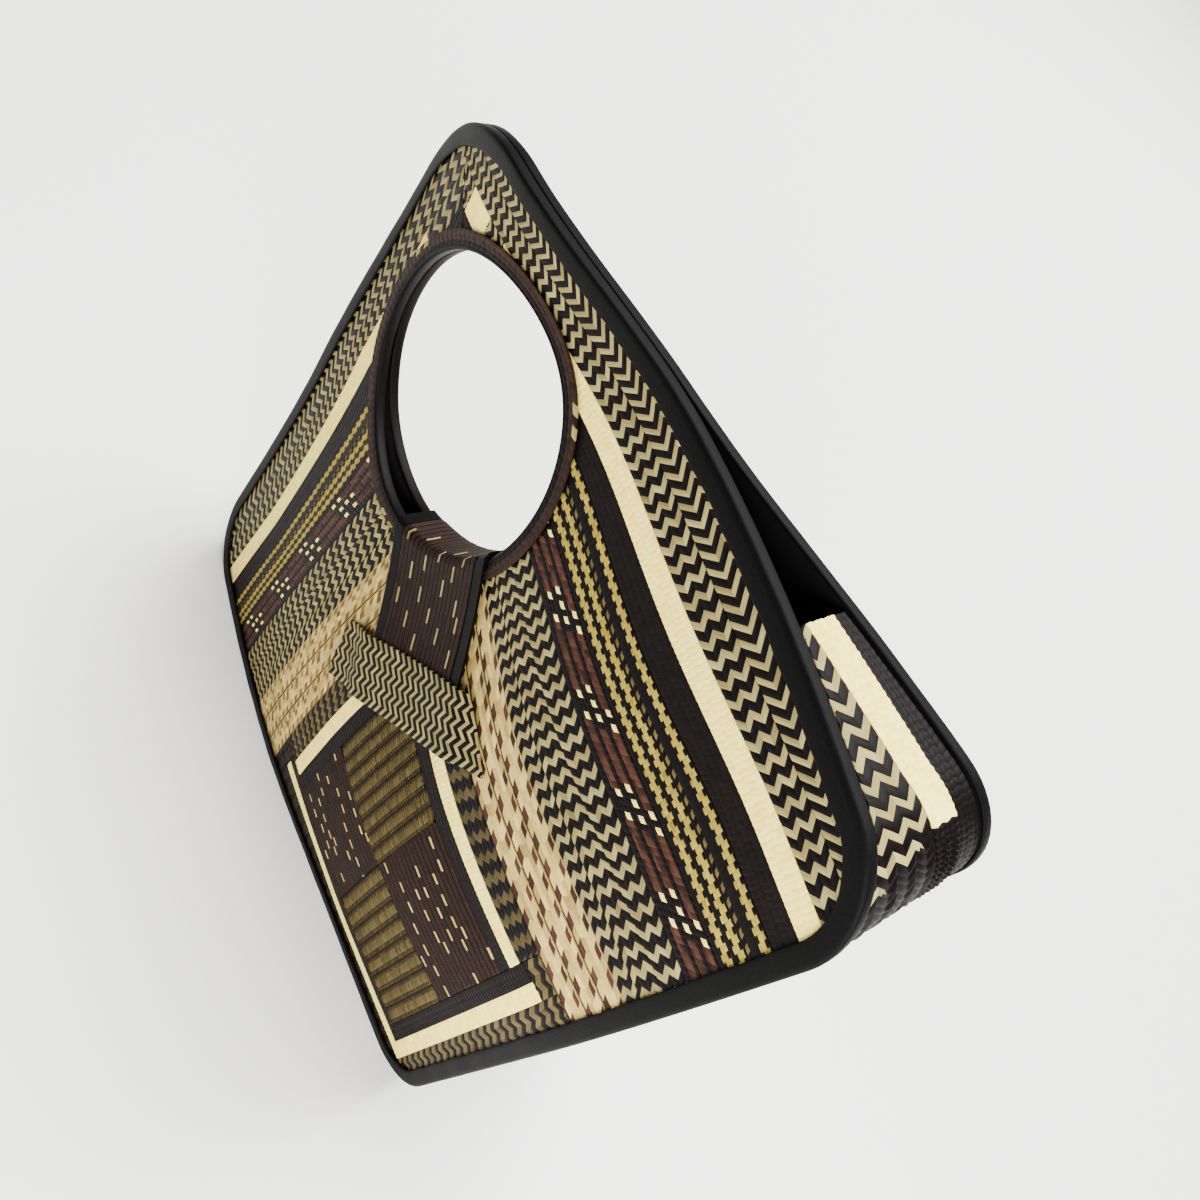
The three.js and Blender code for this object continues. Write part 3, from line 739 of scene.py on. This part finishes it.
def trimSheets(name, seed):
    line = holeLine()
    outwards = normalsOf(line)
    middle = np.array([panel["holeAt"] / diagonal] * 2)
    outwards = outwards * np.sign(((line - middle) * outwards).sum(1))[:, None]
    ring, ways = np.concatenate([line, line[:1]]), np.concatenate([outwards, outwards[:1]])
    length = lengthOf(ring)
    band = {"borders": evenly(trim["edge"], trim["face"], trim["columns"]), "lean": 0.7,
            "cell": length / int(length / trim["cell"]), "start": 0, "end": length - 1, "rise": 0.4,
            "colours": ["dark", "brown", "brown"],
            "dashes": [{"columns": (2,), "every": 37, "rows": (11, 13), "colour": "pale"}]}
    woven = weaveBand(band, seed)
    turn = woven["t"] / woven["t"].max() % 1
    at = np.linspace(0, 1, len(ring))
    p, q = (np.interp(turn, at, ring[:, k]) + np.interp(turn, at, ways[:, k]) * woven["x"] for k in (0, 1))
    outer = onPanel(name, p, q, trim["top"] - trim["sunk"] + woven["dome"])
    inner = onPanel(name, p, q, trim["gap"])
    braid = closeSheet(woven, outer, inner, np.ones(len(woven["quads"]), bool))
    # the rolled black edge: distance out from the hole, and height over the panel's face
    section = np.array([
        [1.0, -3.0], [0.3, -3.0], [0, -2.5], [0, 0.2], [0.15, 0.95], [0.6, 1.45], [1.1, 1.6], [1.55, 1.4],
        [trim["edge"], trim["gap"]], [1.0, trim["gap"]],
    ])
    p, q = (line[:, k, None] + outwards[:, k, None] * section[:, 0] for k in (0, 1))
    edge = ringSheet(onPanel(name, p, q, section[:, 1]))
    edge["colour"][:] = caneNames.index("black")
    return [braid, edge]


for k, name in enumerate(("front", "back")):
    addPiece(f"{name}_hole_trim", "woven", trimSheets(name, trim["seed"] + k))
print("tapes and trims made")

# Lining: a cloth wall behind the braids, a little puckered; its cut and area in metres are the flat cloth's
lining = {"depth": 2.05, "thickness": 0.6, "cell": 5.0, "from": -5, "to": 303, "room": 1.3,
          "pucker": 0.25, "puckerRun": (7, 9), "ripple": 0.15, "rippleRun": 5,
          "cut": (0.304, 0.304), "area": 0.0805}


# Moves points that lie outside the outline or inside the hole back to the cloth's edge
def pushedInside(p, q, room):
    nudge, mostMoved, leastSlope, passes = 0.05, 12, 0.2, 3
    for distance in (edgeDistance, holeDistance):
        for _ in range(passes):
            lack = np.clip(room - distance(p, q), 0, mostMoved)
            slopeP = (distance(p + nudge, q) - distance(p - nudge, q)) / (2 * nudge)
            slopeQ = (distance(p, q + nudge) - distance(p, q - nudge)) / (2 * nudge)
            steep = np.maximum(np.hypot(slopeP, slopeQ), leastSlope)
            p, q = p + lack * slopeP / steep, q + lack * slopeQ / steep
    return p, q


def liningSheet(name):
    count = int((lining["to"] - lining["from"]) / lining["cell"])
    values = np.linspace(lining["from"], lining["to"], count + 1)
    p, q = (grid.ravel() for grid in np.meshgrid(values, values, indexing="ij"))
    quads, _, _ = gridQuads(count, count)
    outside = (edgeDistance(p, q) < lining["room"]) | (holeDistance(p, q) < lining["room"])
    keep = ~outside[quads].all(1)
    p, q = pushedInside(p, q, lining["room"])
    runP, runQ = lining["puckerRun"]
    pucker = lining["pucker"] * np.sin(p / runP) * np.sin(q / runQ)
    pucker = pucker + lining["ripple"] * np.sin((p + q) / lining["rippleRun"])
    outer = onPanel(name, p, q, -lining["depth"])
    inner = onPanel(name, p, q, -lining["depth"] - lining["thickness"] + pucker)
    return closeSheet({"quads": quads, **unwoven(len(p), len(quads))}, outer, inner, keep)


for name in ("front", "back"):
    cloth = addPiece(f"{name}_lining", "cloth", [liningSheet(name)], liningMaterial)

# Gusset: three braids between the panels, from about a quarter up each upper edge down to the base corner
gusset = {"cornerAt": 64.0, "cornerSlant": 0.45, "rise": 81.0, "inset": 1.2, "thickness": 1.8,
          "depth": 4.15, "cream": 12.5, "darkShare": 0.25, "darkMost": 10.0, "spare": 6, "steps": 400,
          "seed": 340}
gussetBands = {
    "zigzag": {**paleOnBlack, "borders": evenly(0, 76.5, 17), "lean": 0.8, "cell": 3.6, "rise": 0.55},
    "cream": {"borders": evenly(0, 12.5, 5), "lean": 0.3, "cell": 2.4, "colours": ["cream"], "rise": 0.9,
              "mottle": 0.24},
    "dark": {"borders": evenly(0, 9, 4), "lean": 0.4, "cell": 2.6, "colours": ["black"], "rise": 0.35},
}


# One half's edge, from the gusset's upper end to the base corner
def gussetLine(half):
    p, q = outline[:, 0], outline[:, 1]
    limit = side - gusset["rise"]
    if half == "right":
        line = outline[(p >= q) & (p > limit)]
        upperEnd = [limit, line[0, 1]]
    else:
        line = outline[(q >= p) & (q > limit)][::-1]
        upperEnd = [line[0, 0], limit]
    middle = line[-1].mean()
    return np.concatenate([[upperEnd], line, [[middle, middle]]])


def gussetSheet(half, index, band, seed):
    line = resample(gussetLine(half), gusset["steps"])
    ahead = np.gradient(line, axis=0)
    ahead = ahead / np.linalg.norm(ahead, axis=1)[:, None]
    out = np.stack([ahead[:, 1], -ahead[:, 0]], -1) * (1 if half == "right" else -1)
    length = lengthOf(line)
    woven = weaveBand({**band, "start": -gusset["spare"], "end": length + gusset["spare"]}, seed)
    at = np.linspace(0, length, len(line))
    held = np.clip(woven["t"], 0, length - panel["seam"])
    stuck = held != woven["t"]
    # past the corner the gusset's floats are all drawn black
    limit = gusset["cornerAt"] + (gusset["cornerSlant"] * woven["x"] if index == 0 else 0)
    under = (held - limit)[woven["quads"]].mean(1) > 0
    woven["colour"][under] = caneNames.index("black")
    p, q = (np.interp(held, at, line[:, k]) for k in (0, 1))
    outP, outQ = (np.interp(held, at, out[:, k]) for k in (0, 1))
    edgeP, edgeQ = p - outP * gusset["inset"], q - outQ * gusset["inset"]
    yFront = faceOf("front", edgeP, edgeQ) + gusset["depth"]
    yBack = faceOf("back", edgeP, edgeQ) - gusset["depth"]
    dark = np.minimum(gusset["darkMost"], gusset["darkShare"] * (yBack - yFront))
    edges = [yFront, yBack - dark - gusset["cream"], yBack - dark, yBack]
    low, high = edges[index] + panel["seam"], edges[index + 1] - panel["seam"]
    if index == 0:
        # the zigzag keeps its width and is cut off at the front panel
        y = np.maximum(high - woven["x"], low)
        stuck = stuck | (y == low)
    else:
        y = low + (high - low) * woven["x"] / woven["x"].max()
    outer, inner = (inFrame(p - outP * depth, y, q - outQ * depth)
                    for depth in (gusset["inset"] - woven["dome"], gusset["inset"] + gusset["thickness"]))
    return closeSheet(woven, outer, inner, ~stuck[woven["quads"]].all(1))


seeds = itertools.count(gusset["seed"])
for half in ("right", "left"):
    for index, (kind, band) in enumerate(gussetBands.items()):
        sheet = gussetSheet(half, index, band, next(seeds))
        addPiece(f"gusset_{half}_{kind}", "woven", [sheet])
print("gusset woven")

# Closure tab: a woven strap from the back panel, over the hole's lower rims, to the front under the keeper
tab = {
    "halfWidth": 24.5, "binding": 5.0, "bindingRound": 0.7, "thickness": 1.2, "crest": 1.0, "over": 2.0,
    "room": 0.3, "frontEnd": 228.0, "backEnd": 202.0, "pastRim": 2, "backPoints": 24, "crestPoints": 12,
    "crestEnds": (0.04, 0.96), "frontPoints": 40, "runs": 9, "steps": 200, "rounding": 6, "spare": 4,
    "relief": 0.7, "seed": 360,
}


# The strap's run for one place across it: up the back, level over the rims and down the front
def tabRun(across, lift):
    rim = panel["holeAt"] + panel["holeHalfHeight"] * np.sqrt(1 - (across / panel["holeHalfWidth"]) ** 2)
    height = tab["over"] + lift
    points = []
    for along in np.linspace(tab["backEnd"], rim + tab["pastRim"], tab["backPoints"]):
        points.append(onAxis("back", along, across, height))
    start, finish = onAxis("back", rim, across, height), onAxis("front", rim, across, height)
    crest = onAxis("front", rim - tab["crest"] - lift, across, 0)
    for share in np.linspace(*tab["crestEnds"], tab["crestPoints"]):
        points.append(np.array([crest[0], start[1] + (finish[1] - start[1]) * share, crest[2]]))
    for along in np.linspace(rim + tab["pastRim"], tab["frontEnd"], tab["frontPoints"]):
        points.append(onAxis("front", along, across, height))
    return np.array(points)


def tabSurface(low, high, lift):
    across = np.linspace(low, high, tab["runs"])
    runs = np.stack([resample(tabRun(value, lift), tab["steps"]) for value in across])
    # the folds are rounded over about 3 mm
    for _ in range(tab["rounding"]):
        runs[:, 1:-1] = (runs[:, :-2] + 2 * runs[:, 1:-1] + runs[:, 2:]) / 4
    return runs


def tabSheet(band, seed):
    low, high = band["borders"][0], band["borders"][-1]
    outerRuns = tabSurface(low, high, tab["thickness"])
    innerRuns = tabSurface(low, high, 0)
    length = lengthOf(outerRuns[tab["runs"] // 2]) * 1000
    woven = weaveBand({**band, "start": -tab["spare"], "end": length + tab["spare"]}, seed)
    held = np.clip(woven["t"], 0, length)
    stuck = held != woven["t"]
    # each point between the four nearest points of the runs
    a = (woven["x"] - low) / (high - low) * (tab["runs"] - 1)
    b = held / length * tab["steps"]
    i, j = np.minimum(a.astype(int), tab["runs"] - 2), np.minimum(b.astype(int), tab["steps"] - 1)
    fa, fb = (a - i)[:, None], (b - j)[:, None]

    def pick(runs):
        return ((runs[i, j] * (1 - fa) + runs[i + 1, j] * fa) * (1 - fb)
                + (runs[i, j + 1] * (1 - fa) + runs[i + 1, j + 1] * fa) * fb)

    outer, inner = pick(outerRuns), pick(innerRuns)
    away = outer - inner
    raised = woven["dome"][:, None] / 1000 * tab["relief"]
    outer = outer + away / np.linalg.norm(away, axis=1)[:, None] * raised
    return closeSheet(woven, outer, inner, ~stuck[woven["quads"]].all(1))


# Ribs along the strap, each a dash's width, a plain width and a gap; the dashes are single pale floats,
# given by rib and by their rows from the back end
strapDashes = {1: (9, 13), 3: (11,), 4: (8, 14), 6: (10, 12), 7: (15,), 9: (9, 13), 11: (8, 11), 12: (14,),
               13: (10,), 15: (9, 12), 16: (13, 15)}
strap = {
    "borders": -24.3 + np.concatenate([[0], np.cumsum([1.1, 0.7, 0.9] * 18)]), "lean": 0.3, "cell": 6.0,
    "rise": 0.6, "ribbed": True, "colours": ["brown", "brown", "black"],
    "dashes": [{"columns": (3 * rib,), "every": 60, "rows": rows, "colour": "pale"}
               for rib, rows in strapDashes.items()],
}
addPiece("closure_tab", "woven", [tabSheet(strap, tab["seed"])])
for sideName, sign in (("left", -1), ("right", 1)):
    inner = tab["halfWidth"] + tab["room"]
    low, high = sorted([sign * inner, sign * (inner + tab["binding"])])
    tape = {"borders": [low, low + tab["bindingRound"], high - tab["bindingRound"], high], "lean": 0.0,
            "cell": 3.0, "colours": ["black"], "rise": 0.0, "steps": (2, 1)}
    sheet = tabSheet(tape, tab["seed"] + 1)
    sheet.update(unwoven(len(sheet["points"]), len(sheet["faces"])), along=1)  # plain tape, all edges sharp
    addPiece(f"tab_binding_{sideName}", "tape", [sheet], tapeMaterial)

# Keeper band: a zigzag braid sewn across the front, raised where the tab goes under it; its ends slant
keeper = {"from": 208.5, "to": 233.5, "left": (-50.0, -60.0), "right": (38.0, 54.0), "ramp": 16.0,
          "raised": 3.2, "thickness": 1.4, "room": 0.3, "sunk": 0.5, "pastTab": 2, "spare": 4,
          "seed": 370}


def keeperSheet(seed):
    band = {**paleOnBlack, "borders": evenly(keeper["from"], keeper["to"], 8), "lean": 0.9, "cell": 2.05,
            "start": keeper["left"][1] - keeper["spare"], "end": keeper["right"][1] + keeper["spare"]}
    woven = weaveBand(band, seed)
    share = (woven["x"] - keeper["from"]) / (keeper["to"] - keeper["from"])
    ends = [first + (last - first) * share for first, last in (keeper["left"], keeper["right"])]
    held = np.clip(woven["t"], *ends)
    stuck = held != woven["t"]
    tabEdge = tab["halfWidth"] + tab["binding"] + keeper["pastTab"]
    over = 1 - smooth((np.abs(held) - tabEdge) / keeper["ramp"])
    under = keeper["room"] + keeper["sunk"] + keeper["raised"] * over
    outer = onAxis("front", woven["x"], held, under + keeper["thickness"] - keeper["sunk"] + woven["dome"])
    inner = onAxis("front", woven["x"], held, under)
    return closeSheet(woven, outer, inner, ~stuck[woven["quads"]].all(1))


addPiece("keeper_band", "woven", [keeperSheet(keeper["seed"])])
print("tab and keeper woven")

# Floor: a board painted matt white, on which only soft shadows show
floor = {"half": 8.0, "colour": "#f4f3f0", "roughness": 0.9}
material, tree, shader = newMaterial("board, painted matt white")
fillSockets(tree, shader, {"Base Color": linear(floor["colour"]), "Roughness": floor["roughness"]})
reach = floor["half"]
mesh = bpy.data.meshes.new("floor")
corners = [(-reach, -reach, 0), (reach, -reach, 0), (reach, reach, 0), (-reach, reach, 0)]
mesh.from_pydata(corners, [], [(0, 1, 2, 3)])
mesh.materials.append(material)
ground = bpy.data.objects.new("floor", mesh)
bpy.context.collection.objects.link(ground)

# Soft studio light: a large lamp high up behind, a small one near on the right, and a dim white room
lamps = [
    {"name": "above", "at": (-0.3, 1.6, 3.4), "size": 3.0, "watts": 660.0},
    {"name": "fromRight", "at": (0.46, -0.34, 0.42), "size": 0.4, "watts": 9.5},
]
room = {"colour": "#ffffff", "strength": 0.2}
aim = Vector((0.02, 0.0, 0.15))
for lamp in lamps:
    light = bpy.data.lights.new(lamp["name"], "AREA")
    light.size = lamp["size"]
    light.energy = lamp["watts"]
    holder = bpy.data.objects.new(lamp["name"], light)
    holder.location = lamp["at"]
    holder.rotation_euler = (aim - Vector(lamp["at"])).to_track_quat("-Z", "Y").to_euler()
    bpy.context.collection.objects.link(holder)
world = bpy.data.worlds.new("room")
world.use_nodes = True
tree = world.node_tree
fillSockets(tree, tree.nodes["Background"], {"Color": linear(room["colour"]), "Strength": room["strength"]})
bpy.context.scene.world = world

# Camera at the photo's angle to the panel, in millimetres; the panel's own axis points up in the picture
camera = {"at": (113.33, -225.80, 481.05), "target": (19.99, 2.10, 216.17), "axis": (-1, 0, 1),
          "roll": 2.70, "lens": 30.69, "sensor": 36, "clipStart": 0.01}
eye = Vector(camera["at"]) / 1000
forward = (Vector(camera["target"]) / 1000 - eye).normalized()
rightward = forward.cross(Vector(camera["axis"]).normalized()).normalized()
upward = rightward.cross(forward)
roll = math.radians(camera["roll"])
rolledRight = math.cos(roll) * rightward + math.sin(roll) * upward
rolledUp = math.cos(roll) * upward - math.sin(roll) * rightward
lens = bpy.data.cameras.new("camera")
lens.lens = camera["lens"]
lens.sensor_width = camera["sensor"]
lens.clip_start = camera["clipStart"]
viewer = bpy.data.objects.new("camera", lens)
turn = Matrix((rolledRight, rolledUp, -forward)).transposed().to_4x4()
viewer.matrix_world = Matrix.Translation(eye) @ turn
bpy.context.collection.objects.link(viewer)
bpy.context.scene.camera = viewer
print("floor, light and camera set")
